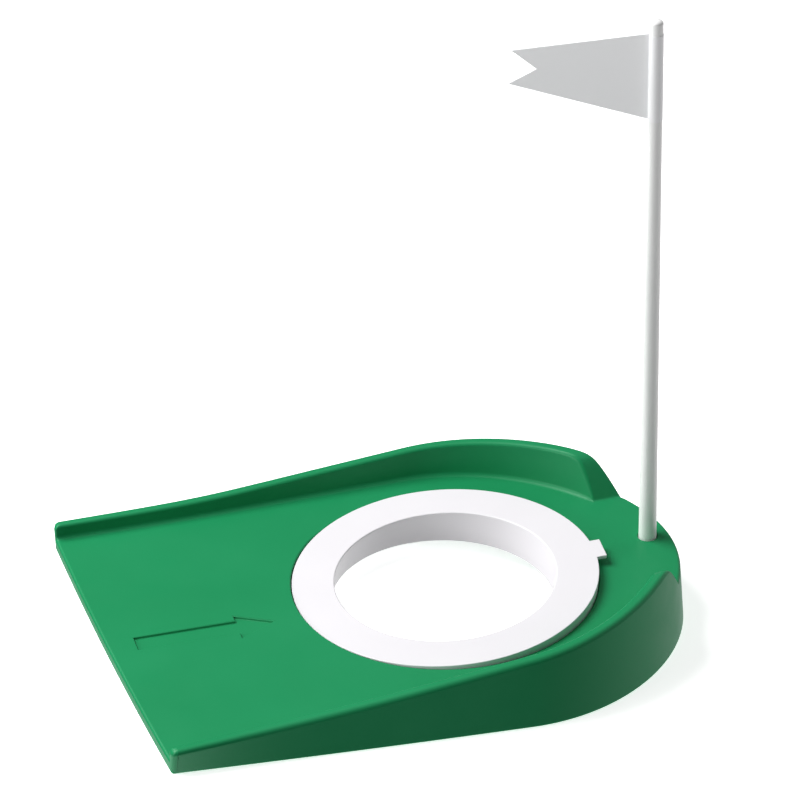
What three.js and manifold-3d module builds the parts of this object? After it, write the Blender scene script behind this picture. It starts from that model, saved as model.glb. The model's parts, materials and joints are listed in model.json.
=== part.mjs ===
// Indoor putting cup: a moulded ramp tray, a drop-in hole ring, a flagstick and its pennant.
// Millimetres. +Y runs from the entry edge to the flagstick, +Z is up, and the origin is the middle
// of the tray's footprint on the ground.
import * as THREE from "three";
import { mergeVertices } from "three/addons/utils/BufferGeometryUtils.js";
import Module from "manifold-3d";

const wasm = await Module();
wasm.setup();

// ---- Driving dimensions ----

// Footprint: straight sides, a slightly bowed entry edge and a rounded back.
const LENGTH = 223;
const WIDTH = 158;
const ENTRY_WIDTH = 154; // on the ground
const ENTRY_BOW = 1.4;
const ROUND_START_Y = 27;
const BACK_HANDLE = 0.505; // Bezier handle length, as a share of the curve's run
const OUTER_DRAFT = 0.14; // lean of the outer wall, mm inwards per mm of height
const HOLE_Y = 19;

// The deck is one sloping plane, and the rims stand on it.
const DECK_AT_HOLE = 14.9;
const DECK_TILT = THREE.MathUtils.degToRad(4.6);
const RIM_HEIGHT_AT_ENTRY = 5.7; // above the deck
const RIM_CLIMB = 0.0705; // extra rise of the rims per mm, once they leave the entry
const RIM_CLIMB_Y = -53;
const RIM_CLIMB_BLEND = 20;
const CREST = 4.2; // width of a rim's flat top
const INNER_LEAN = 0.18;
const MOUTH_LENGTH = 70; // the outer walls turn outwards over this length, towards the entry
const MOUTH_FLARE = 0.32; // added outward lean at the entry, mm per mm of height
const WALL = 2.2;

// The rims stop either side of the flagstick, with sloping ends.
const GAP_HALF_WIDTH = 30.6; // on the deck
const GAP_END_LEAN = 0.64;
const GAP_START_Y = HOLE_Y + 30;
const RIDGE_Y = HOLE_Y + 69;
const RIDGE_RADIUS = 10; // where the rims' crests roll over into their sloping ends
const RIDGE_CUTS = 4;

// Hole through the tray, and the seat that the ring drops into.
const HOLE_RADIUS = 54;
const SEAT_RADIUS = 57.4;
const SEAT_DEPTH = 1.9;
const HOLE_WALL = 2.4;
const SEAT_LAND = 2.2;

// Ring: an inclined flange, a locating spigot and a collar.
const RING_RADIUS = 57;
const RING_TOP_AT_HOLE = 16.8;
const RING_TILT = THREE.MathUtils.degToRad(7);
const RING_UNDER_DECK = 1.6;
const RING_PLATE = 1.8;
const SPIGOT_RADIUS = 53.6;
const SPIGOT_WALL = 2;
const SPIGOT_UNDER_DECK = 4.5;
const COLLAR_RADIUS = 43.4;
const BORE_TOP_RADIUS = 41.2;
const BORE_FOOT_RADIUS = 41.8;
const COLLAR_FOOT_AT_HOLE = 4.5;
const COLLAR_FOOT_SLOPE = 0.067;
const LUG_WIDTH = 11;
const LUG_REACH = 3.5;
const LUG_THICKNESS = 1.6;
const LUG_ANGLE = THREE.MathUtils.degToRad(85);

// Flagstick: leans forward in a blind socket.
const STICK_X = -2;
const STICK_Y = HOLE_Y + 81;
const STICK_TILT = THREE.MathUtils.degToRad(4.3);
const STICK_HEIGHT = 222; // above the deck, along the stick
const STICK_FOOT_RADIUS = 3.4;
const STICK_TOP_RADIUS = 2.4;
const STICK_ROUNDING = 1.4;
const STICK_SUNK = 15;
const SOCKET_CLEARANCE = 0.35;
const BOSS_RADIUS = 6.8;
const BOSS_FLOOR = 3;

// Pennant: a stiff swallow-tail film with a sleeve round the stick.
const PENNANT_LOW = 181; // above the deck, along the stick
const PENNANT_ROOT_HEIGHT = 35.2;
const PENNANT_TIP_HEIGHT = 13.9;
const PENNANT_UPPER_REACH = 52.6;
const PENNANT_LOWER_REACH = 53.6;
const PENNANT_NOTCH = 43.2;
const PENNANT_THICKNESS = 0.5;
const SLEEVE_INNER_RADIUS = 2.85;
const SLEEVE_OUTER_RADIUS = 3.15;
const PENNANT_HEADING = THREE.MathUtils.degToRad(243);

// Direction arrow sunk into the deck.
const ARROW_TAIL = { x: 1, y: -101 };
const ARROW_TURN = THREE.MathUtils.degToRad(-3.5);
const ARROW_LENGTH = 52;
const ARROW_HEAD_LENGTH = 13.4;
const ARROW_SHAFT_WIDTH = 7.7;
const ARROW_HEAD_WIDTH = 14;
const ARROW_DEPTH = 0.8;

// Ribs under the deck, spread round the hole wall.
const RIB_COUNT = 10;
const RIB_THICKNESS = 1.8;
const RIB_CLEARANCE = 2;
const RIB_REACH = 140;

const ROUND_SEGMENTS = 72;
const STICK_SEGMENTS = 32;
const SIDE_STEPS = 28;
const BACK_STEPS = 20;
const REACH = 150; // past every face of the tray
const OVER_RIMS = 40; // a height above the rims' tops
const UNDER_DECK = -4; // heights relative to the deck: below its underside, and above the rims
const OVER_DECK = 20;

const ENTRY_Y = ENTRY_BOW - LENGTH / 2;
const BACK_Y = LENGTH / 2;
const DECK_SLOPE = Math.tan(DECK_TILT);

// ---- Heights along the tray ----

const plane = (heightAtHole, slope) => (y) => heightAtHole + slope * (y - HOLE_Y);
const lowered = (height, drop) => (y) => height(y) - drop;
const level = (height) => () => height;

const deckHeight = plane(DECK_AT_HOLE, DECK_SLOPE);
const ringTop = plane(RING_TOP_AT_HOLE, Math.tan(RING_TILT));
const collarFoot = plane(COLLAR_FOOT_AT_HOLE, COLLAR_FOOT_SLOPE);
const LIP_HEIGHT = deckHeight(-LENGTH / 2);

// A ramp that starts at 0 and climbs, with a soft bend.
function softRamp(distance, blend) {
  return (distance + Math.hypot(distance, blend)) / 2;
}

function rimHeight(y) {
  const climb = RIM_CLIMB * softRamp(y - RIM_CLIMB_Y, RIM_CLIMB_BLEND);
  return deckHeight(y) + RIM_HEIGHT_AT_ENTRY + climb;
}

// ---- Solids ----

function solidFrom(geometry) {
  const bare = new THREE.BufferGeometry();
  bare.setAttribute("position", geometry.getAttribute("position"));
  bare.setIndex(geometry.getIndex());
  const merged = mergeVertices(bare, 1e-4);
  const mesh = new wasm.Mesh({
    numProp: 3,
    vertProperties: merged.getAttribute("position").array,
    triVerts: new Uint32Array(merged.getIndex().array),
  });
  return new wasm.Manifold(mesh);
}

function geometryFrom(solid) {
  const { numProp, vertProperties, triVerts } = solid.getMesh();
  const geometry = new THREE.BufferGeometry();
  geometry.setAttribute("position", new THREE.BufferAttribute(vertProperties, numProp));
  geometry.setIndex(new THREE.BufferAttribute(triVerts, 1));
  const faceted = geometry.toNonIndexed();
  faceted.computeVertexNormals();
  return faceted;
}

// A closed body between two rings of points, both anticlockwise seen from above.
function loft(lower, upper) {
  const count = lower.length;
  const middle = (ring) =>
    ring.reduce((sum, point) => sum.add(point), new THREE.Vector3()).divideScalar(count);
  const points = [...lower, ...upper, middle(lower), middle(upper)];
  const faces = [];
  for (let i = 0; i < count; i++) {
    const j = (i + 1) % count;
    faces.push(i, j, count + j, i, count + j, count + i);
    faces.push(2 * count, j, i, 2 * count + 1, count + i, count + j);
  }
  const geometry = new THREE.BufferGeometry().setFromPoints(points);
  geometry.setIndex(faces);
  return solidFrom(geometry);
}

// Everything between two heights, each a function of y.
function layer(floor, ceiling) {
  const corners = [
    [-REACH, -REACH],
    [REACH, -REACH],
    [REACH, REACH],
    [-REACH, REACH],
  ];
  const ring = (height) => corners.map(([x, y]) => new THREE.Vector3(x, y, height(y)));
  return loft(ring(floor), ring(ceiling));
}

// An upright cylinder or cone on the hole's axis.
function drum(topRadius, footRadius = topRadius) {
  const low = -20;
  const high = 60;
  const geometry = new THREE.CylinderGeometry(topRadius, footRadius, high - low, ROUND_SEGMENTS);
  geometry.rotateX(Math.PI / 2);
  geometry.translate(0, HOLE_Y, (low + high) / 2);
  return solidFrom(geometry);
}

function cup(outerRadius, innerRadius) {
  return drum(outerRadius).subtract(drum(innerRadius));
}

// Moves a geometry made along +Z onto the stick's axis, with its origin at the stick's foot.
function atStick(geometry) {
  geometry.rotateX(STICK_TILT);
  geometry.translate(STICK_X, STICK_Y, deckHeight(STICK_Y));
  return geometry;
}

function stickCylinder(radius, low, high) {
  const geometry = new THREE.CylinderGeometry(radius, radius, high - low, STICK_SEGMENTS);
  geometry.rotateX(Math.PI / 2);
  geometry.translate(0, 0, (low + high) / 2);
  return solidFrom(atStick(geometry));
}

// ---- Tray ----

// The tray's right half on the ground, from the entry corner to the middle of the back.
function rightSide() {
  const corner = new THREE.Vector2(ENTRY_WIDTH / 2, ENTRY_Y);
  const shoulder = new THREE.Vector2(WIDTH / 2, ROUND_START_Y);
  const bend = new THREE.Vector2(WIDTH / 2, (ENTRY_Y + ROUND_START_Y) / 2);
  const run = BACK_Y - ROUND_START_Y;
  const back = new THREE.CubicBezierCurve(
    shoulder,
    new THREE.Vector2(WIDTH / 2, ROUND_START_Y + BACK_HANDLE * run),
    new THREE.Vector2((BACK_HANDLE * WIDTH) / 2, BACK_Y),
    new THREE.Vector2(0, BACK_Y),
  );
  const side = new THREE.QuadraticBezierCurve(corner, bend, shoulder);
  return [...side.getPoints(SIDE_STEPS), ...back.getPoints(BACK_STEPS).slice(1)];
}

function mirrored(points) {
  const left = points.slice(0, -1).reverse();
  return [...points, ...left.map(({ x, y }) => new THREE.Vector2(-x, y))];
}

// Moves each point of an open anticlockwise outline inwards by its own distance. At an end the
// missing neighbour is the point itself, which leaves the one side's own direction.
function inset(outline, distanceAt) {
  return outline.map((point, i) => {
    const before = outline[i - 1] ?? point;
    const after = outline[i + 1] ?? point;
    const first = point.clone().sub(before).normalize();
    const second = after.clone().sub(point).normalize();
    const inwards = new THREE.Vector2(-first.y - second.y, first.x + second.x);
    return point.clone().addScaledVector(inwards, distanceAt(point) / (1 + first.dot(second)));
  });
}

// The footprint's sides and back moved inwards, run straight on past the entry.
function sideOutline(distanceAt) {
  const sides = inset(mirrored(rightSide()), distanceAt);
  const mouth = [sides.at(-1), sides[0]].map(({ x }) => new THREE.Vector2(x, -REACH));
  return [...sides, ...mouth];
}

// Everything behind the entry edge's face, which is bowed and stands square to the deck.
function behindEntry(margin, z) {
  const y = ENTRY_Y + margin - DECK_SLOPE * (z - LIP_HEIGHT);
  const left = new THREE.Vector2(-WIDTH / 2, y);
  const right = new THREE.Vector2(WIDTH / 2, y);
  const pull = new THREE.Vector2(0, y - 2 * ENTRY_BOW);
  const edge = new THREE.QuadraticBezierCurve(left, pull, right).getPoints(SIDE_STEPS);
  const corners = [
    [REACH, y],
    [REACH, REACH],
    [-REACH, REACH],
    [-REACH, y],
  ];
  return [...edge, ...corners.map(([x, cornerY]) => new THREE.Vector2(x, cornerY))];
}

// How far the rims have opened out: 0 along the tray, and 1 at the entry.
function mouth(y) {
  return Math.max(0, 1 - (y - ENTRY_Y) / MOUTH_LENGTH) ** 2;
}

// How far the outer wall stands in from the footprint, at a height.
function outerFace(y, z) {
  return (OUTER_DRAFT - MOUTH_FLARE * mouth(y)) * z;
}

// How far a rim's inner face stands in from the footprint, at a height above the deck.
function innerFace(y, aboveDeck) {
  const rimAboveDeck = rimHeight(y) - deckHeight(y);
  const lean = INNER_LEAN * (1 - mouth(y));
  return outerFace(y, rimHeight(y)) + CREST + lean * (rimAboveDeck - aboveDeck);
}

// The outer walls, up past the rims, moved inwards by a margin.
function outerBlock(margin) {
  const raise = (outline, z) => outline.map(({ x, y }) => new THREE.Vector3(x, y, z));
  const sides = (z) => raise(sideOutline(({ y }) => margin + outerFace(y, z)), z);
  const entry = (z) => raise(behindEntry(margin, z), z);
  const foot = margin ? -1 : 0;
  return loft(sides(foot), sides(OVER_RIMS)).intersect(loft(entry(foot), entry(OVER_RIMS)));
}

// Everything below the rims' tops.
function underRims(drop) {
  const profile = new THREE.Shape();
  const steps = 40;
  profile.moveTo(REACH, -10);
  for (let i = 0; i <= steps; i++) {
    const y = REACH - (2 * REACH * i) / steps;
    profile.lineTo(y, rimHeight(y) - drop);
  }
  profile.lineTo(-REACH, -10);
  const geometry = new THREE.ExtrudeGeometry(profile, { depth: 2 * REACH, bevelEnabled: false });
  geometry.rotateX(Math.PI / 2);
  geometry.rotateZ(Math.PI / 2);
  geometry.translate(-REACH, 0, 0);
  return solidFrom(geometry);
}

// The space between the rims, widened by a margin and open at the entry.
function deckSpace(margin) {
  const ring = (aboveDeck) => {
    const outline = sideOutline(({ y }) => innerFace(y, aboveDeck) - margin);
    return outline.map(({ x, y }) => new THREE.Vector3(x, y, deckHeight(y) + aboveDeck));
  };
  return loft(ring(UNDER_DECK), ring(OVER_DECK));
}

// The gap between the rims' ends, where the flagstick stands.
function stickGap(margin) {
  const steepest = Math.atan(GAP_END_LEAN);
  const centre = rimHeight(RIDGE_Y) - deckHeight(RIDGE_Y) - RIDGE_RADIUS;
  const side = GAP_HALF_WIDTH + RIDGE_RADIUS / Math.cos(steepest) + GAP_END_LEAN * centre;
  let gap = null;
  for (let i = 0; i <= RIDGE_CUTS; i++) {
    const tilt = steepest + ((Math.PI / 2 - steepest) * i) / (RIDGE_CUTS + 1);
    const halfWidth = (aboveDeck) =>
      side + (margin - RIDGE_RADIUS) / Math.cos(tilt) + Math.tan(tilt) * (aboveDeck - centre);
    const ring = (aboveDeck) => gapOutline(halfWidth(aboveDeck), aboveDeck);
    const cut = loft(ring(i === 0 ? UNDER_DECK : centre), ring(OVER_DECK));
    gap = gap ? gap.add(cut) : cut;
  }
  return gap;
}

function gapOutline(halfWidth, aboveDeck) {
  const corners = [
    [-halfWidth, GAP_START_Y],
    [halfWidth, GAP_START_Y],
    [halfWidth, REACH],
    [-halfWidth, REACH],
  ];
  return corners.map(([x, y]) => new THREE.Vector3(x, y, deckHeight(y) + aboveDeck));
}

// The tray's outer shape. With a margin it is the shape of the hollow inside it.
function trayShape(margin) {
  const above = layer(lowered(deckHeight, margin), lowered(deckHeight, -REACH));
  const cleared = deckSpace(margin).add(stickGap(margin)).intersect(above);
  return outerBlock(margin).intersect(underRims(margin)).subtract(cleared);
}

// The hollow under the deck and inside the rims. The rims' walls close up towards the entry, and the
// slivers that are cut off there stay solid.
function hollow() {
  const pockets = trayShape(WALL).decompose();
  return pockets.reduce((best, pocket) => (pocket.volume() > best.volume() ? pocket : best));
}

function ribs() {
  const clear = layer(level(RIB_CLEARANCE), level(OVER_RIMS));
  let all = null;
  for (let i = 0; i < RIB_COUNT; i++) {
    const geometry = new THREE.BoxGeometry(RIB_REACH, RIB_THICKNESS, 2 * OVER_RIMS);
    geometry.translate(HOLE_RADIUS + RIB_REACH / 2 + 1, 0, 0);
    geometry.rotateZ(Math.PI / 2 + (i * 2 * Math.PI) / RIB_COUNT);
    geometry.translate(0, HOLE_Y, 0);
    const rib = solidFrom(geometry);
    all = all ? all.add(rib) : rib;
  }
  return all.intersect(clear);
}

function arrow() {
  const shaft = ARROW_SHAFT_WIDTH / 2;
  const head = ARROW_HEAD_WIDTH / 2;
  const neck = ARROW_LENGTH - ARROW_HEAD_LENGTH;
  const outline = [
    [-shaft, 0],
    [shaft, 0],
    [shaft, neck],
    [head, neck],
    [0, ARROW_LENGTH],
    [-head, neck],
    [-shaft, neck],
  ];
  const shape = new THREE.Shape(outline.map(([x, y]) => new THREE.Vector2(x, y)));
  const geometry = new THREE.ExtrudeGeometry(shape, { depth: 10, bevelEnabled: false });
  geometry.translate(0, 0, -ARROW_DEPTH);
  geometry.rotateZ(ARROW_TURN);
  geometry.rotateX(DECK_TILT);
  geometry.translate(ARROW_TAIL.x, ARROW_TAIL.y, deckHeight(ARROW_TAIL.y));
  return solidFrom(geometry);
}

function baseTray() {
  const shape = trayShape(0);
  const holeWall = drum(HOLE_RADIUS + HOLE_WALL);
  const landFloor = lowered(deckHeight, SEAT_DEPTH + SEAT_LAND);
  const seatLand = drum(SEAT_RADIUS + HOLE_WALL).intersect(layer(landFloor, level(OVER_RIMS)));
  const bossLength = deckHeight(STICK_Y) - BOSS_FLOOR;
  const boss = stickCylinder(BOSS_RADIUS, -bossLength, 5);
  const inside = holeWall.add(seatLand).add(boss).add(ribs()).intersect(shape);
  const seatFloor = lowered(deckHeight, SEAT_DEPTH);
  const seat = drum(SEAT_RADIUS).intersect(layer(seatFloor, level(OVER_RIMS)));
  const socket = stickCylinder(
    STICK_FOOT_RADIUS + SOCKET_CLEARANCE,
    -STICK_SUNK - SOCKET_CLEARANCE,
    10,
  );
  return shape
    .subtract(hollow())
    .add(inside)
    .subtract(drum(HOLE_RADIUS))
    .subtract(seat)
    .subtract(socket)
    .subtract(arrow());
}

// ---- Hole ring ----

function lug() {
  const geometry = new THREE.BoxGeometry(2 * LUG_REACH, LUG_WIDTH, 2 * OVER_RIMS);
  geometry.translate(RING_RADIUS, 0, 0);
  geometry.rotateZ(LUG_ANGLE);
  geometry.translate(0, HOLE_Y, 0);
  return solidFrom(geometry).intersect(layer(lowered(ringTop, LUG_THICKNESS), ringTop));
}

function holeRing() {
  const flangeFoot = lowered(deckHeight, RING_UNDER_DECK);
  const spigotFoot = lowered(deckHeight, SPIGOT_UNDER_DECK);
  const flange = drum(RING_RADIUS).intersect(layer(flangeFoot, ringTop));
  const spigotInner = SPIGOT_RADIUS - SPIGOT_WALL;
  const underPlate = layer(level(-10), lowered(ringTop, RING_PLATE));
  const recess = cup(spigotInner, COLLAR_RADIUS).intersect(underPlate);
  const spigot = cup(SPIGOT_RADIUS, spigotInner).intersect(layer(spigotFoot, ringTop));
  const collar = drum(COLLAR_RADIUS).intersect(layer(collarFoot, ringTop));
  return flange
    .subtract(recess)
    .add(spigot)
    .add(collar)
    .add(lug())
    .subtract(drum(BORE_TOP_RADIUS, BORE_FOOT_RADIUS));
}

// ---- Flagstick and pennant ----

function stickGeometry() {
  const rounding = new THREE.Path();
  rounding.moveTo(STICK_TOP_RADIUS, STICK_HEIGHT - STICK_ROUNDING);
  rounding.quadraticCurveTo(STICK_TOP_RADIUS, STICK_HEIGHT, 0, STICK_HEIGHT);
  const profile = [
    new THREE.Vector2(0, -STICK_SUNK),
    new THREE.Vector2(STICK_FOOT_RADIUS, -STICK_SUNK),
    new THREE.Vector2(STICK_FOOT_RADIUS, 0),
    ...rounding.getPoints(6),
  ];
  profile[profile.length - 1].x = 0;
  const geometry = new THREE.LatheGeometry(profile, STICK_SEGMENTS);
  geometry.rotateX(Math.PI / 2);
  return geometry;
}

// Made with +X away from the stick and +Z along it.
function pennant() {
  const middle = PENNANT_LOW + PENNANT_ROOT_HEIGHT / 2;
  const root = PENNANT_ROOT_HEIGHT / 2;
  const tip = PENNANT_TIP_HEIGHT / 2;
  const start = (SLEEVE_INNER_RADIUS + SLEEVE_OUTER_RADIUS) / 2;
  const outline = [
    [start, middle - root],
    [PENNANT_LOWER_REACH, middle - tip],
    [PENNANT_NOTCH, middle],
    [PENNANT_UPPER_REACH, middle + tip],
    [start, middle + root],
  ];
  const shape = new THREE.Shape(outline.map(([x, y]) => new THREE.Vector2(x, y)));
  const settings = { depth: PENNANT_THICKNESS, bevelEnabled: false };
  const film = new THREE.ExtrudeGeometry(shape, settings);
  film.translate(0, 0, -PENNANT_THICKNESS / 2);
  film.rotateX(Math.PI / 2);
  const tube = (radius, extra) => {
    const height = PENNANT_ROOT_HEIGHT + extra;
    const geometry = new THREE.CylinderGeometry(radius, radius, height, STICK_SEGMENTS);
    geometry.rotateX(Math.PI / 2);
    geometry.translate(0, 0, middle);
    return solidFrom(geometry);
  };
  return solidFrom(film).add(tube(SLEEVE_OUTER_RADIUS, 0)).subtract(tube(SLEEVE_INNER_RADIUS, 1));
}

// ---- Assembly ----

function piece(name, geometry, color, roughness) {
  const material = new THREE.MeshStandardMaterial({ color, roughness, metalness: 0 });
  const mesh = new THREE.Mesh(geometry, material);
  mesh.name = name;
  return mesh;
}

const cupSet = new THREE.Group();
cupSet.add(piece("base_tray", geometryFrom(baseTray()), "#2f9664", 0.5));
cupSet.add(piece("hole_ring", geometryFrom(holeRing()), "#f5f3f7", 0.45));

const stickFrame = new THREE.Group();
stickFrame.position.set(STICK_X, STICK_Y, deckHeight(STICK_Y));
stickFrame.rotation.x = STICK_TILT;
stickFrame.add(piece("flagstick", stickGeometry(), "#f2f2f2", 0.4));
const flag = piece("pennant", geometryFrom(pennant()), "#d9dadf", 0.55);
flag.rotation.z = PENNANT_HEADING;
stickFrame.add(flag);
cupSet.add(stickFrame);

export default cupSet;
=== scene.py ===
"""Looks of the indoor putting cup: a green moulded tray, a white hole ring, a flagstick and its pennant.

Shapes are in millimetres until a mesh is made, and the stage is in metres. +Y runs from the entry
edge to the flagstick, and +Z is up.
"""

import json
import math

import bmesh
import bpy
from mathutils import Matrix, Vector


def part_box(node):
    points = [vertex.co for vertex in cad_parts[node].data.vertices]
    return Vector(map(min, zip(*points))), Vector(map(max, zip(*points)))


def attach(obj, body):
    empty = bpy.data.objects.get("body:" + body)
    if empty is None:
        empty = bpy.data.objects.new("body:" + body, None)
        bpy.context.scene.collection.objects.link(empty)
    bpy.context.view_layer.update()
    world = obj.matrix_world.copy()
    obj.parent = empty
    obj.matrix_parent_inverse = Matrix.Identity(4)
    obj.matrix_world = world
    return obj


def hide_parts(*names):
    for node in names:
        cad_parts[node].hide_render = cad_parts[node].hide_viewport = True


MM = 0.001

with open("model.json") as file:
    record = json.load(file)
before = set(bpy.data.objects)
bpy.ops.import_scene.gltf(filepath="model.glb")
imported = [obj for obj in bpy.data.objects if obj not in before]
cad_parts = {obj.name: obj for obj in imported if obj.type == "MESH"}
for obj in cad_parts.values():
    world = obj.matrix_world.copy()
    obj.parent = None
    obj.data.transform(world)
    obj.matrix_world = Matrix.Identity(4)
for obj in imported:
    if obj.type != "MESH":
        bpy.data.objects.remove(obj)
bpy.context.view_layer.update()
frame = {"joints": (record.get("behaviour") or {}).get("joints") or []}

# ---- Places, from the frame ----

TRAY_LOW, TRAY_HIGH = (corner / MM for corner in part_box("base_tray"))
RING_LOW, RING_HIGH = (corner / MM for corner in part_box("hole_ring"))
JOINTS = {joint["name"]: joint for joint in frame["joints"]}
STICK_AXIS = Vector(JOINTS["flag_turn"]["axis"]).normalized()
STICK_FOOT = Vector(JOINTS["flag_turn"]["pos_m"]) / MM

# ---- Tray ----

HALF_WIDTH = TRAY_HIGH.x
ENTRY_BOW = 1.4  # how far the entry edge bulges forwards in its middle
ENTRY_Y = TRAY_LOW.y + ENTRY_BOW
BACK_Y = TRAY_HIGH.y
ENTRY_HALF_WIDTH = HALF_WIDTH - 2  # on the ground
RING_RADIUS = RING_HIGH.x
HOLE_Y = RING_LOW.y + RING_RADIUS
HOLE_CENTRE = Vector((0, HOLE_Y, 0))
ROUND_START_Y = HOLE_Y + 8
BACK_HANDLE = 0.505  # Bezier handle length, as a share of the curve's run
OUTER_DRAFT = 0.14  # lean of the outer wall, mm inwards per mm of height

DECK_AT_HOLE = 14.9  # height at the hole's centre
DECK_SLOPE = math.tan(math.radians(4.6))
RIM_HEIGHT_AT_ENTRY = 5.7
RIM_CLIMB = 0.0705  # extra rise of the rims per mm, once they leave the entry
RIM_CLIMB_Y = HOLE_Y - 72
RIM_CLIMB_BLEND = 20  # how softly that rise begins
CREST = 4.2  # width of the rims' tops
LEAST_CREST = 0.8  # in the skins that lie further in
INNER_LEAN = 0.18  # lean of the rims' inner faces, mm inwards per mm of depth
MOUTH_LENGTH = 70  # the outer walls turn outwards over this length, towards the entry
MOUTH_FLARE = 0.32  # added outward lean at the entry, mm per mm of height
WALL = 2.2

GAP_HALF_WIDTH = 30.6  # on the deck
GAP_END_LEAN = 0.64  # lean of the rims' sloping ends, mm outwards per mm of height
RIDGE_BLEND = 3.6  # how softly the rims' crests roll over into their sloping ends

HOLE_RADIUS = 54
SEAT_RADIUS = 57.4
SEAT_DEPTH = 1.9
HOLE_WALL = 2.4
SEAT_LAND = 2.2  # thickness of the shelf under the seat
BRIM_ROUND = 0.4  # rounding of the seat's and the socket's upper edges

# Edge roundings.
ROUND_OUTER = 1.9
ROUND_CORNER = 2.2
ROUND_RIM_FRONT = 2.4
ROUND_INNER = 1.2
ROUND_DECK = 1.1
ROUND_FACET = 0.7
ROUND_FOOT = 0.4
FILLET_DECK = 1.6
FILLET_FACET = 0.7

# Ribs and boss on the underside.
RIB_COUNT = 10
RIB_THICKNESS = 1.8
RIB_CLEARANCE = 2  # above the ground
RIB_START = 1  # outwards from the hole
RIB_REACH = 150  # longer than any rib, which ends at the skin
INSIDE_MARGIN = 0.8  # how far the inner structure stays inside the tray's skin
BOSS_RADIUS = 6.8
BOSS_FLOOR = 3

# Cutters and inner bodies end well beyond what they are combined with.
LOW_END = -5
HIGH_END = 60
HOLLOW_FOOT = -2
SEAT_CUTTER_RISE = 30
SOCKET_CUTTER_RISE = 10
ARROW_CUTTER_RISE = 5
BOSS_RISE = 5
OVERCUT = 0.01  # a cutter's rounding ends this far above the deck

# Arrow sunk into the deck.
ARROW_TAIL = Vector((1, HOLE_Y - 120))
ARROW_TURN = math.radians(-3.5)
ARROW_LENGTH = 52
ARROW_HEAD_LENGTH = 13.4
ARROW_SHAFT_WIDTH = 7.7
ARROW_HEAD_WIDTH = 14
ARROW_DEPTH = 0.9
ARROW_ROUND = 0.45

# ---- Ring ----

RING_TOP_AT_HOLE = 16.8  # height at the hole's centre
RING_SLOPE = math.tan(math.radians(7))
RING_UNDER_DECK = 1.6  # from the deck down to the flange's underside
RING_PLATE = 1.8  # thickness between the collar and the spigot
SPIGOT_RADIUS = 53.6  # the spigot goes down into the tray's hole
SPIGOT_WALL = 2
SPIGOT_UNDER_DECK = 4.5
COLLAR_RADIUS = 43.4  # outside
BORE_TOP_RADIUS = 41.2
BORE_FOOT_RADIUS = 41.8
COLLAR_FOOT_AT_HOLE = 4.5
COLLAR_FOOT_SLOPE = 0.067
RING_ROUND = 0.5
RING_SMALL_ROUND = 0.3
LUG_WIDTH = 11
LUG_REACH = 3.5
LUG_THICKNESS = 1.6
LUG_ANGLE = math.radians(85)

# ---- Flagstick and pennant, along the stick from the deck ----

STICK_HEIGHT = 222
STICK_FOOT_RADIUS = 3.4
STICK_TOP_RADIUS = 2.4
STICK_ROUNDING = 1.4
STICK_CHAMFER = 0.5  # at its foot
STICK_SUNK = 15
SOCKET_CLEARANCE = 0.15
PENNANT_LOW = 181
PENNANT_ROOT_HEIGHT = 35.2
PENNANT_TIP_HEIGHT = 13.9
PENNANT_UPPER_REACH = 52.6
PENNANT_LOWER_REACH = 53.6
PENNANT_NOTCH = 43.2
PENNANT_THICKNESS = 0.5
PENNANT_ROUND = 0.12
SLEEVE_GAP = 0.03
SLEEVE_WALL = 0.12
PENNANT_HEADING = math.radians(243)

# ---- Fineness of the meshes ----

LATHE_STEPS = 192
STICK_STEPS = 64
ARC_STEPS = 5
DOME_STEPS = 8
ROUND_SEGMENTS = 5
SIDE_STATIONS = 110
FACET_STATIONS = 14
TAPER_STATIONS = 4  # over which a rounding fades out
BACK_STATIONS = 16
FRONT_STATIONS = 12
TOP_PASSES = 8  # to settle the height and the place of a point on a rim's top
SOLVE_STEPS = 40
SIDE_STEP = 1e-3  # of u, for the side's direction
LAST_RIDGE = 1.95  # a rim's sloping end lies before this u
SAME_PLACE = 1e-6  # points this near the middle plane are on it
SHARP_ANGLE = math.radians(30)
FLAT_FACE_WEIGHT = 80

# ---- Surfaces, with noise in cycles per metre ----

NOISE_LOW = 0.3  # the noise mostly stays between these two
NOISE_HIGH = 0.7
FLOW_SCALE = 18
FLOW_DETAIL = 3
GLOSS_SCALE = 60
GLOSS_DETAIL = 4
GLOSS_SPREAD = 0.04
GRAIN_DETAIL = 3
GRAIN_STRENGTH = 0.5

# ---- Stage, in metres ----

FLOOR_SIZE = 60
FLOOR_DROP = 0.0002  # the floor lies this far under the tray
FLOOR_COLOR = (0.95, 0.95, 0.95)
FLOOR_ROUGHNESS = 0.9
FLOOR_GLOW = 0.5

# Name, direction, diameter and power of each light.
LIGHTS = [("key", (-0.45, -0.72, 0.95), 1.2, 28), ("entry_fill", (0.2, -1, 0.2), 1.0, 11.5)]
LIGHT_DISTANCE = 1.6
LIGHT_AIM = Vector((0, 0, 0.05))

# Direction and strength of each glow.
SKY_GLOWS = [((0, 0, -1), 2.1), ((0, 1, 1), 0.5), ((-0.2, 0.9, -0.4), 0.4)]
GLOW_EDGES = (0.3, 0.95)  # cosines where a glow starts and where it is full
BASE_GLOW = 0.02

CAMERA_AZIMUTH = math.radians(69.16)
CAMERA_ELEVATION = math.radians(31.24)
CAMERA_ROLL = math.radians(4.3)
CAMERA_DISTANCE = 2.2256
CAMERA_AIM = Vector((-0.0457, 0.0131, 0.0670))
CAMERA_LENS = 267.76
CAMERA_SENSOR = 36
CAMERA_CLIP_END = 100


# ---- Heights ----


def plane(height_at_hole, slope):
    return lambda y: height_at_hole + slope * (y - HOLE_Y)


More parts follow.
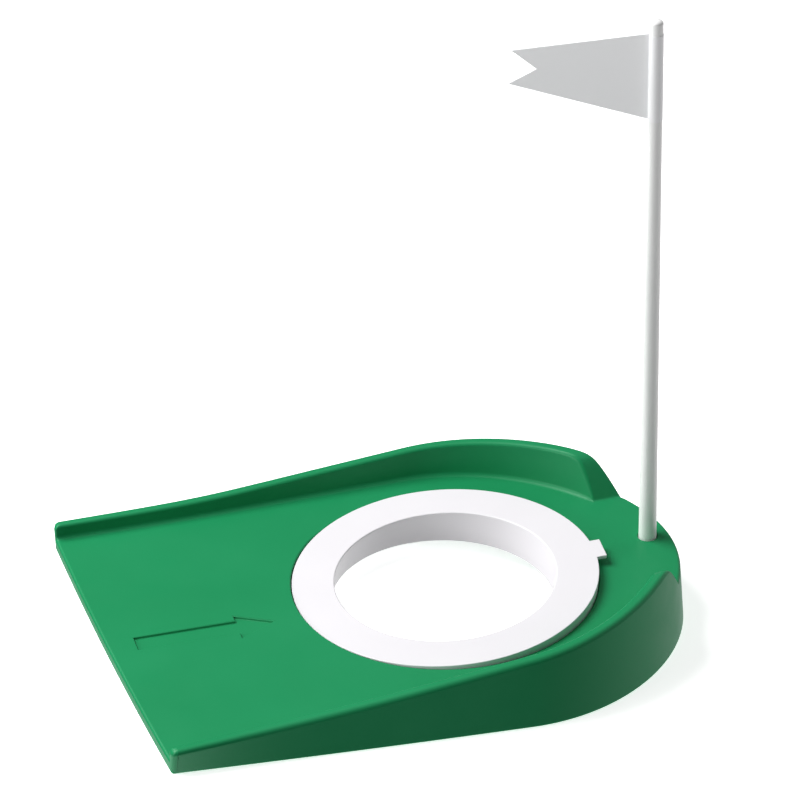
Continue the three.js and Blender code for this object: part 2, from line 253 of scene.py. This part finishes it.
deck_height = plane(DECK_AT_HOLE, DECK_SLOPE)
ring_top = plane(RING_TOP_AT_HOLE, RING_SLOPE)
collar_foot = plane(COLLAR_FOOT_AT_HOLE, COLLAR_FOOT_SLOPE)
LIP_HEIGHT = deck_height(TRAY_LOW.y)


def level(height):
    return lambda y: height


def raised(height, by):
    return lambda y: height(y) + by


def above_deck(rise):
    return raised(deck_height, rise)


def soft_ramp(distance, blend):
    """A ramp that starts at 0 and climbs, with a soft bend."""
    return (distance + math.hypot(distance, blend)) / 2


def rim_height(y):
    climb = RIM_CLIMB * soft_ramp(y - RIM_CLIMB_Y, RIM_CLIMB_BLEND)
    return deck_height(y) + RIM_HEIGHT_AT_ENTRY + climb


# ---- Mesh helpers ----


def object_from(name, points, faces):
    mesh = bpy.data.meshes.new(name)
    mesh.from_pydata([Vector(point) * MM for point in points], [], faces)
    mesh.validate()
    obj = bpy.data.objects.new(name, mesh)
    bpy.context.scene.collection.objects.link(obj)
    return obj


def outward(obj):
    """Turns all faces of a closed mesh outwards."""
    mesh = bmesh.new()
    mesh.from_mesh(obj.data)
    bmesh.ops.recalc_face_normals(mesh, faces=mesh.faces)
    if mesh.calc_volume(signed=True) < 0:
        bmesh.ops.reverse_faces(mesh, faces=mesh.faces)
    mesh.to_mesh(obj.data)
    mesh.free()
    return obj


def apply_modifiers(obj):
    bpy.context.view_layer.update()
    evaluated = obj.evaluated_get(bpy.context.evaluated_depsgraph_get())
    mesh = bpy.data.meshes.new_from_object(evaluated)
    obj.modifiers.clear()
    old = obj.data
    obj.data = mesh
    bpy.data.meshes.remove(old)
    return obj


def combine(obj, operation, others):
    """Joins, cuts or intersects obj with the others, which are then removed."""
    for other in others:
        modifier = obj.modifiers.new(operation, "BOOLEAN")
        modifier.operation = operation
        modifier.solver = "MANIFOLD"
        modifier.object = other
    apply_modifiers(obj)
    for other in others:
        bpy.data.objects.remove(other)
    return obj


def round_edges(obj, radii):
    """Rounds the edges in radii, which maps a pair of vertex numbers to a radius."""
    widest = max(radii.values())
    weights = obj.data.attributes.new("bevel_weight_edge", "FLOAT", "EDGE")
    for edge in obj.data.edges:
        radius = radii.get(frozenset(edge.vertices), 0)
        weights.data[edge.index].value = radius / widest
    modifier = obj.modifiers.new("Rounding", "BEVEL")
    modifier.limit_method = "WEIGHT"
    modifier.width = widest * MM
    modifier.segments = ROUND_SEGMENTS
    modifier.use_clamp_overlap = False
    return apply_modifiers(obj)


def smooth(obj):
    """Smooth shading, with flat faces kept flat and edges over SHARP_ANGLE kept sharp."""
    obj.data.shade_smooth()
    obj.data.set_sharp_from_angle(angle=SHARP_ANGLE)
    modifier = obj.modifiers.new("Flat faces", "WEIGHTED_NORMAL")
    modifier.keep_sharp = True
    modifier.weight = FLAT_FACE_WEIGHT
    return apply_modifiers(obj)


def lathe(name, profile, steps=LATHE_STEPS, centre=(0, 0), closed=False):
    """Turns a profile of (radius, height function of y) about an upright axis.

    An open profile starts and ends on the axis, and a closed one runs round a ring's section.
    """
    points, faces, rings = [], [], []
    for radius, height in profile:
        if radius == 0:
            rings.append([len(points)] * steps)
            points.append((*centre, height(centre[1])))
            continue
        rings.append(list(range(len(points), len(points) + steps)))
        for i in range(steps):
            angle = 2 * math.pi * i / steps
            x = centre[0] + radius * math.cos(angle)
            y = centre[1] + radius * math.sin(angle)
            points.append((x, y, height(y)))
    followers = rings[1:] + rings[:1] if closed else rings[1:]
    for lower, upper in zip(rings, followers):
        for i in range(steps):
            j = (i + 1) % steps
            corners = [lower[i], lower[j], upper[j], upper[i]]
            faces.append(list(dict.fromkeys(corners)))
    return outward(object_from(name, points, faces))


def arc(centre, radius, start, end):
    """Points of an arc in a profile: (radius, rise) pairs, with angles in degrees."""
    points = []
    for i in range(ARC_STEPS + 1):
        angle = math.radians(start + (end - start) * i / ARC_STEPS)
        points.append((centre[0] + radius * math.cos(angle), centre[1] + radius * math.sin(angle)))
    return points


def cylinder(radius, foot, top):
    """The profile of a cylinder between two height functions."""
    return [(0, foot), (radius, foot), (radius, top), (0, top)]


def recess(radius, depth, rise, at):
    """The profile of a round recess with a rounded brim, where at(rise) gives a height function."""
    brim = arc((radius + BRIM_ROUND, OVERCUT - BRIM_ROUND), BRIM_ROUND, 180, 90)
    section = [(0, -depth), (radius, -depth)] + brim + [(radius + BRIM_ROUND, rise), (0, rise)]
    return [(reach, at(height)) for reach, height in section]


def outwards(angle):
    return Vector((math.cos(angle), math.sin(angle), 0))


def bar(near, far, out, width):
    """The outline of a bar that runs from one point to another in the direction out."""
    side = Vector((-out.y, out.x, 0)) * width / 2
    return [near - side, far - side, far + side, near + side]


def prism(name, levels):
    """A closed body through outlines with equal point counts, each a list of 3-D points."""
    count = len(levels[0])
    points = [point for outline in levels for point in outline]
    faces = [list(range(count))[::-1]]
    for step in range(len(levels) - 1):
        for i in range(count):
            j = (i + 1) % count
            low = step * count
            faces.append([low + i, low + j, low + count + j, low + count + i])
    faces.append([len(points) - count + i for i in range(count)])
    return outward(object_from(name, points, faces))


def along_stick(obj):
    """Stands an object made along +Z on the flagstick's axis, from the deck up."""
    turn = Vector((0, 0, 1)).rotation_difference(STICK_AXIS).to_matrix().to_4x4()
    obj.data.transform(Matrix.Translation(STICK_FOOT * MM) @ turn)
    return obj


# ---- Tray ----


def bezier(points, t):
    """A point of a Bezier curve, by de Casteljau's steps."""
    while len(points) > 1:
        points = [a.lerp(b, t) for a, b in zip(points, points[1:])]
    return points[0]


def side_point(u):
    """The footprint's right side: 0 is the entry corner, 1 the shoulder, 2 the middle of the back."""
    corner = Vector((ENTRY_HALF_WIDTH, ENTRY_Y))
    shoulder = Vector((HALF_WIDTH, ROUND_START_Y))
    if u <= 1:
        bend = Vector((HALF_WIDTH, (ENTRY_Y + ROUND_START_Y) / 2))
        return bezier([corner, bend, shoulder], u)
    run = BACK_Y - ROUND_START_Y
    handle = Vector((HALF_WIDTH, ROUND_START_Y + BACK_HANDLE * run))
    back_handle = Vector((BACK_HANDLE * HALF_WIDTH, BACK_Y))
    return bezier([shoulder, handle, back_handle, Vector((0, BACK_Y))], u - 1)


def side_inset(u, distance):
    """The point a distance inwards from the footprint's right side."""
    low = max(0, u - SIDE_STEP)
    high = min(2, u + SIDE_STEP)
    along = (side_point(high) - side_point(low)).normalized()
    return side_point(u) + distance * Vector((-along.y, along.x))


def entry_wall(x, z, margin):
    """The y of the entry edge's face, which is bowed and stands square to the deck."""
    bow = ENTRY_BOW * (1 - (x / HALF_WIDTH) ** 2)
    return ENTRY_Y - bow + margin - DECK_SLOPE * (z - LIP_HEIGHT)


def mouth(y):
    """How far the rims have opened out: 0 along the tray, and 1 at the entry."""
    return max(0, 1 - (y - ENTRY_Y) / MOUTH_LENGTH) ** 2


def outer_face(y, z):
    """How far the outer wall stands in from the footprint, at a height."""
    return (OUTER_DRAFT - MOUTH_FLARE * mouth(y)) * z


def solve(function, low, high):
    """Where an increasing or decreasing function crosses 0."""
    rising = function(high) > function(low)
    for _ in range(SOLVE_STEPS):
        middle = (low + high) / 2
        if (function(middle) > 0) == rising:
            high = middle
        else:
            low = middle
    return (low + high) / 2


class TraySkin:
    """The tray's outer faces, moved inwards by a margin, as lines of points along its right side."""

    def __init__(self, margin):
        self.margin = margin
        self.crest = max(CREST - 2 * margin, LEAST_CREST)

    def deck(self, y):
        return deck_height(y) - self.margin

    def rim(self, y):
        return rim_height(y) - self.margin

    def on_wall(self, u, z):
        """A point on the outer wall."""
        flat = side_inset(u, self.margin + outer_face(side_point(u).y, z))
        return self.behind_entry(u, Vector((flat.x, flat.y, z)))

    def behind_entry(self, u, point):
        """Keeps a point behind the entry edge's face, and the first point of a line on it."""
        face = entry_wall(point.x, point.z, self.margin)
        point.y = face if u == 0 else max(point.y, face)
        return point

    def end_height(self, x):
        """The height above the deck of a rim's sloping end."""
        return (x - GAP_HALF_WIDTH - self.margin) / GAP_END_LEAN

    def top(self, x, y):
        """The height of a rim's top, which rolls over into its sloping end."""
        full = self.rim(y) - self.deck(y)
        end = self.end_height(x)
        return self.deck(y) + (full + end - math.hypot(full - end, RIDGE_BLEND)) / 2

    def on_top(self, place, u):
        """The point of a line on the rim's top, from the function that gives its place at a height."""
        z = self.rim(side_point(u).y)
        for _ in range(TOP_PASSES):
            point = place(u, z)
            z = self.top(point.x, point.y)
        return place(u, z)

    def crest_outside(self, u):
        return self.on_top(self.on_wall, u)

    def crest_inside(self, u):
        return self.on_top(self.on_inner_face, u)

    def on_inner_face(self, u, z):
        """A point on a rim's inner face."""
        y = side_point(u).y
        below = max(0, self.rim(y) - z)
        inset = self.margin + outer_face(y, self.rim(y)) + self.crest
        flat = side_inset(u, inset + INNER_LEAN * (1 - mouth(y)) * below)
        return self.behind_entry(u, Vector((flat.x, flat.y, z)))

    def deck_edge(self, u):
        """The foot of a rim's inner face."""
        point = self.on_inner_face(u, self.deck(side_inset(u, CREST).y))
        point.z = self.deck(point.y)
        return point

    def stations(self, line):
        """Values of u along a rim, from the entry edge over the ridge to the sloping end's foot."""

        def past_ridge(u):
            point = line(u)
            return self.end_height(point.x) - self.rim(point.y) + self.deck(point.y)

        def over_deck(u):
            point = line(u)
            return point.z - self.deck(point.y)

        ridge = solve(past_ridge, 1, LAST_RIDGE)
        foot = solve(over_deck, ridge, LAST_RIDGE)
        along = [ridge * i / SIDE_STATIONS for i in range(SIDE_STATIONS)]
        down = [ridge + (foot - ridge) * i / FACET_STATIONS for i in range(FACET_STATIONS + 1)]
        return along + down

    def back_edge(self, start):
        """The deck's back edge, from the foot of the sloping end to the middle."""
        values = [start + (2 - start) * i / BACK_STATIONS for i in range(1, BACK_STATIONS + 1)]
        return values, [self.on_wall(u, self.deck(side_point(u).y)) for u in values]

    def entry_lines(self, start, foot):
        """The upper and lower edges of the entry edge's face, from a rim to the middle."""
        upper, lower = [], []
        for i in range(FRONT_STATIONS + 1):
            x = start * (1 - i / FRONT_STATIONS)
            y = entry_wall(x, self.deck(ENTRY_Y), self.margin)
            upper.append(Vector((x, y, self.deck(y))))
            lower.append(Vector((x, entry_wall(x, foot, self.margin), foot)))
        return upper, lower


class HalfMesh:
    """The right half of a tray skin: points, faces, and the roundings of edges."""

    def __init__(self, skin, foot):
        self.points, self.faces, self.radii = [], [], {}
        outside = skin.stations(skin.crest_outside)
        inside = skin.stations(skin.crest_inside)
        back_values, back_edge = skin.back_edge(outside[-1])
        top = [skin.crest_outside(u) for u in outside] + back_edge
        bottom = [skin.on_wall(u, foot) for u in outside + back_values]
        top[-1].x = bottom[-1].x = 0
        inner = [skin.deck_edge(u) for u in inside[:-1]]
        edge, edge_foot = skin.entry_lines(inner[0].x, foot)
        self.top = self.add(top)
        self.bottom = self.add(bottom)
        self.crest = self.add([skin.crest_inside(u) for u in inside])
        self.inner = self.add(inner) + [self.crest[-1]]
        self.edge = [self.inner[0]] + self.add(edge[1:])
        self.edge_foot = self.add(edge_foot)
        self.foot_end = SIDE_STATIONS + FACET_STATIONS  # of the rim's sloping end, along the top
        self.add_faces()
        self.add_roundings()

    def add(self, line):
        """Adds a line of points, and gives their numbers."""
        self.points.extend(line)
        return list(range(len(self.points) - len(line), len(self.points)))

    def strip(self, low, high):
        """Adds the faces between two lines with equal point counts."""
        for i in range(len(low) - 1):
            self.faces.append([low[i], low[i + 1], high[i + 1], high[i]])

    def add_faces(self):
        top, bottom, crest, inner = self.top, self.bottom, self.crest, self.inner
        edge, edge_foot = self.edge, self.edge_foot
        self.strip(bottom, top)
        self.strip(top[: self.foot_end + 1], crest)
        self.strip(crest[:-1], inner[:-1])
        self.faces.append([crest[-2], crest[-1], inner[-2]])
        self.strip(edge_foot, edge)
        self.faces.append([bottom[0], top[0], crest[0], inner[0], edge_foot[0]])
        self.faces.append(inner + top[self.foot_end :] + edge[::-1][:-1])
        self.faces.append(bottom + edge_foot[::-1])

    def rounding(self, line, radius):
        self.radii.update({frozenset(pair): radius for pair in zip(line, line[1:])})

    def tapering(self, line, radius):
        """Rounding that fades out at the line's end."""
        keep = len(line) - TAPER_STATIONS
        self.rounding(line[:keep], radius)
        for i in range(TAPER_STATIONS):
            share = 1 - (i + 1) / (TAPER_STATIONS + 1)
            self.rounding(line[keep - 1 + i : keep + 1 + i], radius * share)

    def add_roundings(self):
        top, bottom, crest, inner = self.top, self.bottom, self.crest, self.inner
        self.rounding(top[: SIDE_STATIONS + 1], ROUND_OUTER)
        self.rounding(top[SIDE_STATIONS:], ROUND_DECK)
        self.tapering(crest, ROUND_INNER)
        self.tapering(inner, FILLET_DECK)
        self.rounding([crest[-1], top[self.foot_end]], FILLET_FACET)
        self.rounding([top[0], crest[0]], ROUND_RIM_FRONT)
        self.rounding([crest[0], inner[0]], ROUND_FACET)
        self.rounding(self.edge, ROUND_DECK)
        self.rounding([bottom[0], top[0]], ROUND_CORNER)
        self.rounding(bottom, ROUND_FOOT)
        self.rounding([bottom[0]] + self.edge_foot, ROUND_FOOT)


def tray_skin(name, margin=0, foot=0, rounded=True):
    """A closed body inside the tray's outer faces, with its edges rounded or sharp."""
    half = HalfMesh(TraySkin(margin), foot)
    return mirrored(name, half.points, half.faces, half.radii if rounded else None)


def mirrored(name, points, faces, radii):
    """Adds the left half, joins both on the middle plane, and rounds the edges in radii, if given."""
    left = {}
    everything = list(points)
    for i, point in enumerate(points):
        if abs(point.x) < SAME_PLACE:
            left[i] = i
        else:
            left[i] = len(everything)
            everything.append(Vector((-point.x, point.y, point.z)))
    both = faces + [[left[i] for i in face][::-1] for face in faces]
    obj = outward(object_from(name, everything, both))
    if radii is None:
        return obj
    other = {frozenset(left[i] for i in pair): radius for pair, radius in radii.items()}
    return round_edges(obj, {**other, **radii})


def ribs():
    pieces = []
    for i in range(RIB_COUNT):
        out = outwards(math.pi / 2 + 2 * math.pi * i / RIB_COUNT)
        near = HOLE_CENTRE + out * (HOLE_RADIUS + RIB_START)
        outline = bar(near, near + out * RIB_REACH, out, RIB_THICKNESS)
        levels = [[corner + Vector((0, 0, z)) for corner in outline] for z in (RIB_CLEARANCE, HIGH_END)]
        pieces.append(prism(f"rib_{i}", levels))
    return pieces


def inner_structure():
    """Hole wall, seat land, boss and ribs, inside the tray's skin."""
    centre = (0, HOLE_Y)
    wall = cylinder(HOLE_RADIUS + HOLE_WALL, level(0), level(HIGH_END))
    land_foot = above_deck(-SEAT_DEPTH - SEAT_LAND)
    land = cylinder(SEAT_RADIUS + HOLE_WALL, land_foot, level(HIGH_END))
    boss_foot = level(BOSS_FLOOR - deck_height(STICK_FOOT.y))
    boss = cylinder(BOSS_RADIUS, boss_foot, level(BOSS_RISE))
    body = lathe("hole_wall", wall, centre=centre)
    others = [lathe("seat_land", land, centre=centre)]
    others.append(along_stick(lathe("boss", boss, STICK_STEPS)))
    combine(body, "UNION", others + ribs())
    return combine(body, "INTERSECT", [tray_skin("inside", INSIDE_MARGIN, rounded=False)])


def hole_cutter():
    tall = cylinder(HOLE_RADIUS, level(LOW_END), level(HIGH_END))
    return lathe("hole", tall, centre=(0, HOLE_Y))


def seat_cutter():
    profile = recess(SEAT_RADIUS, SEAT_DEPTH, SEAT_CUTTER_RISE, above_deck)
    return lathe("seat", profile, centre=(0, HOLE_Y))


def socket_cutter():
    radius = STICK_FOOT_RADIUS + SOCKET_CLEARANCE
    profile = recess(radius, STICK_SUNK, SOCKET_CUTTER_RISE, level)
    return along_stick(lathe("socket", profile, STICK_STEPS))


def offset(outline, distance):
    """An anticlockwise outline of 2-D points, moved outwards."""
    moved = []
    for i, point in enumerate(outline):
        first = (point - outline[i - 1]).normalized()
        second = (outline[(i + 1) % len(outline)] - point).normalized()
        out = Vector((first.y + second.y, -first.x - second.x))
        moved.append(point + out * distance / (1 + first.dot(second)))
    return moved


def arrow_cutter():
    """The arrow's recess, with rounded upper and lower edges."""
    shaft = ARROW_SHAFT_WIDTH / 2
    head = ARROW_HEAD_WIDTH / 2
    neck = ARROW_LENGTH - ARROW_HEAD_LENGTH
    right = [(shaft, 0), (shaft, neck), (head, neck)]
    left = [(-x, y) for x, y in reversed(right)]
    outline = [Vector(point) for point in right + [(0, ARROW_LENGTH)] + left]
    lower = arc((-ARROW_ROUND, -ARROW_DEPTH + ARROW_ROUND), ARROW_ROUND, -90, 0)
    upper = arc((ARROW_ROUND, OVERCUT - ARROW_ROUND), ARROW_ROUND, 180, 90)
    section = lower + upper + [(ARROW_ROUND, ARROW_CUTTER_RISE)]
    levels = []
    for distance, rise in section:
        levels.append([Vector((*point, rise)) for point in offset(outline, distance)])
    cutter = prism("arrow", levels)
    slope = Matrix.Rotation(math.atan(DECK_SLOPE), 4, "X")
    turn = Matrix.Rotation(ARROW_TURN, 4, "Z")
    tail = Vector((*ARROW_TAIL, deck_height(ARROW_TAIL.y)))
    cutter.data.transform(Matrix.Translation(tail * MM) @ slope @ turn)
    return cutter


def make_tray():
    tray = tray_skin("tray")
    combine(tray, "DIFFERENCE", [tray_skin("hollow", WALL, HOLLOW_FOOT, rounded=False)])
    combine(tray, "UNION", [inner_structure()])
    cutters = [hole_cutter(), seat_cutter(), socket_cutter(), arrow_cutter()]
    combine(tray, "DIFFERENCE", cutters)
    return smooth(tray)


# ---- Ring ----


def make_ring():
    flange_foot = above_deck(-RING_UNDER_DECK)
    spigot_foot = above_deck(-SPIGOT_UNDER_DECK)
    plate_foot = raised(ring_top, -RING_PLATE)
    spigot_inside = SPIGOT_RADIUS - SPIGOT_WALL
    big, small = RING_ROUND, RING_SMALL_ROUND

    def bend(radius, height, size, start, end):
        """A rounded edge whose sides are at radius and height. Its angles say which edge it is."""
        middle = (start + end) / 2
        side = math.copysign(size, math.cos(math.radians(middle)))
        rise = math.copysign(size, math.sin(math.radians(middle)))
        return [(r, raised(height, h)) for r, h in arc((radius - side, -rise), size, start, end)]

    profile = bend(BORE_TOP_RADIUS, ring_top, big, 90, 180)
    profile += bend(BORE_FOOT_RADIUS, collar_foot, small, 180, 270)
    profile += bend(COLLAR_RADIUS, collar_foot, small, 270, 360)
    profile += [(COLLAR_RADIUS, plate_foot), (spigot_inside, plate_foot)]
    profile += bend(spigot_inside, spigot_foot, small, 180, 270)
    profile += bend(SPIGOT_RADIUS, spigot_foot, small, 270, 360)
    profile += [(SPIGOT_RADIUS, flange_foot)]
    profile += bend(RING_RADIUS, flange_foot, small, 270, 360)
    profile += bend(RING_RADIUS, ring_top, small, 0, 90)
    ring = lathe("ring", profile, centre=(0, HOLE_Y), closed=True)
    combine(ring, "UNION", [make_lug()])
    return smooth(ring)


def make_lug():
    out = outwards(LUG_ANGLE)
    near = HOLE_CENTRE + out * (RING_RADIUS - LUG_REACH)
    far = HOLE_CENTRE + out * (RING_RADIUS + LUG_REACH)
    outline = bar(near, far, out, LUG_WIDTH)

    def below_top(depth):
        return [Vector((p.x, p.y, ring_top(p.y) - depth)) for p in outline]

    lug = prism("lug", [below_top(LUG_THICKNESS), below_top(0)])
    edges = {frozenset(edge.vertices): RING_SMALL_ROUND for edge in lug.data.edges}
    return round_edges(lug, edges)


# ---- Flagstick and pennant ----


def stick_radius(height):
    share = max(0, height) / STICK_HEIGHT
    return STICK_FOOT_RADIUS + (STICK_TOP_RADIUS - STICK_FOOT_RADIUS) * share


def make_stick():
    top = STICK_HEIGHT - STICK_ROUNDING
    profile = [(0, level(-STICK_SUNK)), (STICK_FOOT_RADIUS - STICK_CHAMFER, level(-STICK_SUNK))]
    profile += [(STICK_FOOT_RADIUS, level(STICK_CHAMFER - STICK_SUNK)), (STICK_FOOT_RADIUS, level(0))]
    profile += [(STICK_TOP_RADIUS, level(top))]
    for i in range(1, DOME_STEPS):
        angle = math.pi / 2 * i / DOME_STEPS
        height = level(top + STICK_ROUNDING * math.sin(angle))
        profile.append((STICK_TOP_RADIUS * math.cos(angle), height))
    profile.append((0, level(STICK_HEIGHT)))
    return smooth(along_stick(lathe("stick", profile, STICK_STEPS)))


def make_film():
    """The flat part of the pennant, which starts inside the sleeve's wall and points along +X."""
    middle = PENNANT_LOW + PENNANT_ROOT_HEIGHT / 2
    root, tip = PENNANT_ROOT_HEIGHT / 2, PENNANT_TIP_HEIGHT / 2
    start = stick_radius(PENNANT_LOW + PENNANT_ROOT_HEIGHT) + SLEEVE_GAP + SLEEVE_WALL / 2
    outline = [(start, middle - root), (PENNANT_LOWER_REACH, middle - tip), (PENNANT_NOTCH, middle)]
    outline += [(PENNANT_UPPER_REACH, middle + tip), (start, middle + root)]
    half = PENNANT_THICKNESS / 2
    film = prism("film", [[Vector((x, y, z)) for x, z in outline] for y in (half, -half)])
    radii = {}
    for edge in film.data.edges:
        ends = [film.data.vertices[i].co / MM for i in edge.vertices]
        if abs(ends[0].y - ends[1].y) < half:  # both ends are on the same side of the film
            radii[frozenset(edge.vertices)] = PENNANT_ROUND
    return round_edges(film, radii)


def make_sleeve():
    low, high = PENNANT_LOW, PENNANT_LOW + PENNANT_ROOT_HEIGHT
    inside = [stick_radius(z) + SLEEVE_GAP for z in (low, high)]
    section = [(inside[0], level(low)), (inside[0] + SLEEVE_WALL, level(low))]
    section += [(inside[1] + SLEEVE_WALL, level(high)), (inside[1], level(high))]
    return lathe("sleeve", section, STICK_STEPS, closed=True)


def make_pennant():
    film = make_film()
    pennant = combine(make_sleeve(), "UNION", [film])
    pennant.data.transform(Matrix.Rotation(PENNANT_HEADING, 4, "Z"))
    return smooth(along_stick(pennant))


# ---- Materials ----


def principled(name, color, roughness, specular):
    material = bpy.data.materials.new(name)
    material.use_nodes = True
    shader = material.node_tree.nodes["Principled BSDF"]
    shader.inputs["Base Color"].default_value = (*color, 1)
    shader.inputs["Roughness"].default_value = roughness
    shader.inputs["Specular IOR Level"].default_value = specular
    return material, shader


def noise(tree, scale, detail):
    """Noise in the object's own metres."""
    place = tree.nodes.new("ShaderNodeTexCoord")
    texture = tree.nodes.new("ShaderNodeTexNoise")
    texture.inputs["Scale"].default_value = scale
    texture.inputs["Detail"].default_value = detail
    tree.links.new(place.outputs["Object"], texture.inputs["Vector"])
    return texture.outputs["Fac"]


def spread(tree, value, low, high):
    """Maps noise from its usual range to another one."""
    ramp = tree.nodes.new("ShaderNodeMapRange")
    ramp.inputs["From Min"].default_value = NOISE_LOW
    ramp.inputs["From Max"].default_value = NOISE_HIGH
    ramp.inputs["To Min"].default_value = low
    ramp.inputs["To Max"].default_value = high
    tree.links.new(value, ramp.inputs["Value"])
    return ramp.outputs["Result"]


def mixed(tree, factor, dark, light):
    mix = tree.nodes.new("ShaderNodeMix")
    mix.data_type = "RGBA"
    mix.inputs["A"].default_value = (*dark, 1)
    mix.inputs["B"].default_value = (*light, 1)
    tree.links.new(factor, mix.inputs["Factor"])
    return mix.outputs["Result"]


def bumped(tree, shader, height, distance):
    bump = tree.nodes.new("ShaderNodeBump")
    bump.inputs["Distance"].default_value = distance
    bump.inputs["Strength"].default_value = GRAIN_STRENGTH
    tree.links.new(height, bump.inputs["Height"])
    tree.links.new(bump.outputs["Normal"], shader.inputs["Normal"])


def moulded_plastic(name, dark, light, roughness, grain, grain_depth, specular=0.5):
    """Moulded plastic: faint flow marks in its colour and gloss, and a fine tool grain."""
    material, shader = principled(name, light, roughness, specular)
    tree = material.node_tree
    flow = noise(tree, FLOW_SCALE, FLOW_DETAIL)
    tint = mixed(tree, spread(tree, flow, 0, 1), dark, light)
    tree.links.new(tint, shader.inputs["Base Color"])
    gloss_noise = noise(tree, GLOSS_SCALE, GLOSS_DETAIL)
    gloss = spread(tree, gloss_noise, roughness - GLOSS_SPREAD, roughness + GLOSS_SPREAD)
    tree.links.new(gloss, shader.inputs["Roughness"])
    bumped(tree, shader, noise(tree, grain, GRAIN_DETAIL), grain_depth)
    return material


def green_plastic():
    return moulded_plastic(
        "Green moulded plastic",
        dark=(0.014, 0.25, 0.1),
        light=(0.018, 0.27, 0.112),
        roughness=0.42,
        grain=2600,
        grain_depth=0.00004,
        specular=0.3,
    )


def white_plastic():
    return moulded_plastic(
        "White moulded plastic",
        dark=(0.735, 0.72, 0.745),
        light=(0.755, 0.74, 0.765),
        roughness=0.42,
        grain=3200,
        grain_depth=0.00002,
    )


def stick_plastic():
    return moulded_plastic(
        "Flagstick plastic",
        dark=(0.9, 0.9, 0.9),
        light=(0.92, 0.92, 0.915),
        roughness=0.33,
        grain=1800,
        grain_depth=0.00001,
    )


def pennant_film():
    return moulded_plastic(
        "Pennant film",
        dark=(0.92, 0.92, 0.935),
        light=(0.94, 0.94, 0.955),
        roughness=0.5,
        grain=1500,
        grain_depth=0.00002,
    )


# ---- Stage ----


def add_floor():
    bpy.ops.mesh.primitive_plane_add(size=FLOOR_SIZE, location=(0, 0, -FLOOR_DROP))
    floor = bpy.context.object
    floor.name = "floor"
    material, shader = principled("Floor", FLOOR_COLOR, FLOOR_ROUGHNESS, 0)
    shader.inputs["Emission Color"].default_value = (1, 1, 1, 1)
    shader.inputs["Emission Strength"].default_value = FLOOR_GLOW
    floor.data.materials.append(material)
    floor.visible_diffuse = False
    floor.visible_glossy = False


def add_light(name, direction, size, power):
    """A round area light that faces the cup."""
    light = bpy.data.lights.new(name, "AREA")
    light.shape = "DISK"
    light.size = size
    light.energy = power
    obj = bpy.data.objects.new(name, light)
    bpy.context.scene.collection.objects.link(obj)
    back = Vector(direction).normalized()
    obj.location = LIGHT_AIM + back * LIGHT_DISTANCE
    obj.rotation_euler = back.to_track_quat("Z", "Y").to_euler()


def direction_share(tree, vector, towards):
    """How much a world direction points the way of towards, from 0 to 1."""
    dot = tree.nodes.new("ShaderNodeVectorMath")
    dot.operation = "DOT_PRODUCT"
    dot.inputs[1].default_value = Vector(towards).normalized()
    tree.links.new(vector, dot.inputs[0])
    ramp = tree.nodes.new("ShaderNodeMapRange")
    ramp.interpolation_type = "SMOOTHSTEP"
    ramp.inputs["From Min"].default_value = GLOW_EDGES[0]
    ramp.inputs["From Max"].default_value = GLOW_EDGES[1]
    tree.links.new(dot.outputs["Value"], ramp.inputs["Value"])
    return ramp.outputs["Result"]


def add_sky():
    """Light from all round: a faint base, and glows that fade out around their directions."""
    world = bpy.data.worlds.new("Studio")
    bpy.context.scene.world = world
    world.use_nodes = True
    tree = world.node_tree
    background = tree.nodes["Background"]
    background.inputs["Color"].default_value = (1, 1, 1, 1)
    place = tree.nodes.new("ShaderNodeTexCoord").outputs["Generated"]
    total = None
    for towards, strength in SKY_GLOWS:
        share = direction_share(tree, place, towards)
        scaled = tree.nodes.new("ShaderNodeMath")
        scaled.operation = "MULTIPLY_ADD"
        scaled.inputs[1].default_value = strength
        scaled.inputs[2].default_value = BASE_GLOW if total is None else 0
        tree.links.new(share, scaled.inputs[0])
        if total is not None:
            tree.links.new(total, scaled.inputs[2])
        total = scaled.outputs["Value"]
    tree.links.new(total, background.inputs["Strength"])


def add_camera():
    data = bpy.data.cameras.new("Camera")
    data.lens = CAMERA_LENS
    data.sensor_width = CAMERA_SENSOR
    data.clip_end = CAMERA_CLIP_END
    camera = bpy.data.objects.new("Camera", data)
    bpy.context.scene.collection.objects.link(camera)
    level_part = math.cos(CAMERA_ELEVATION)
    sine, cosine = math.sin(CAMERA_AZIMUTH), math.cos(CAMERA_AZIMUTH)
    back = Vector((sine * level_part, -cosine * level_part, math.sin(CAMERA_ELEVATION)))
    right = Vector((cosine, sine, 0))
    up = back.cross(right)
    turned_right = math.cos(CAMERA_ROLL) * right + math.sin(CAMERA_ROLL) * up
    turned_up = back.cross(turned_right)
    axes = Matrix((turned_right, turned_up, back)).transposed().to_4x4()
    camera.matrix_world = Matrix.Translation(CAMERA_AIM + back * CAMERA_DISTANCE) @ axes
    bpy.context.scene.camera = camera


# ---- Assembly ----


def show(obj, name, body, node, material):
    """Names a visible piece, and puts it on its body in place of the CAD's piece."""
    obj.name = name
    obj.data.name = name
    obj.data.materials.clear()
    obj.data.materials.append(material)
    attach(obj, body)
    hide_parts(node)


show(make_tray(), "tray_moulding", "base", "base_tray", green_plastic())
show(make_ring(), "ring_insert", "ring", "hole_ring", white_plastic())
show(make_stick(), "stick_moulding", "stick", "flagstick", stick_plastic())
show(make_pennant(), "pennant_film", "flag", "pennant", pennant_film())

add_floor()
add_sky()
for light_values in LIGHTS:
    add_light(*light_values)
add_camera()
bpy.context.scene.view_settings.view_transform = "Standard"
bpy.context.scene.view_settings.look = "Medium High Contrast"
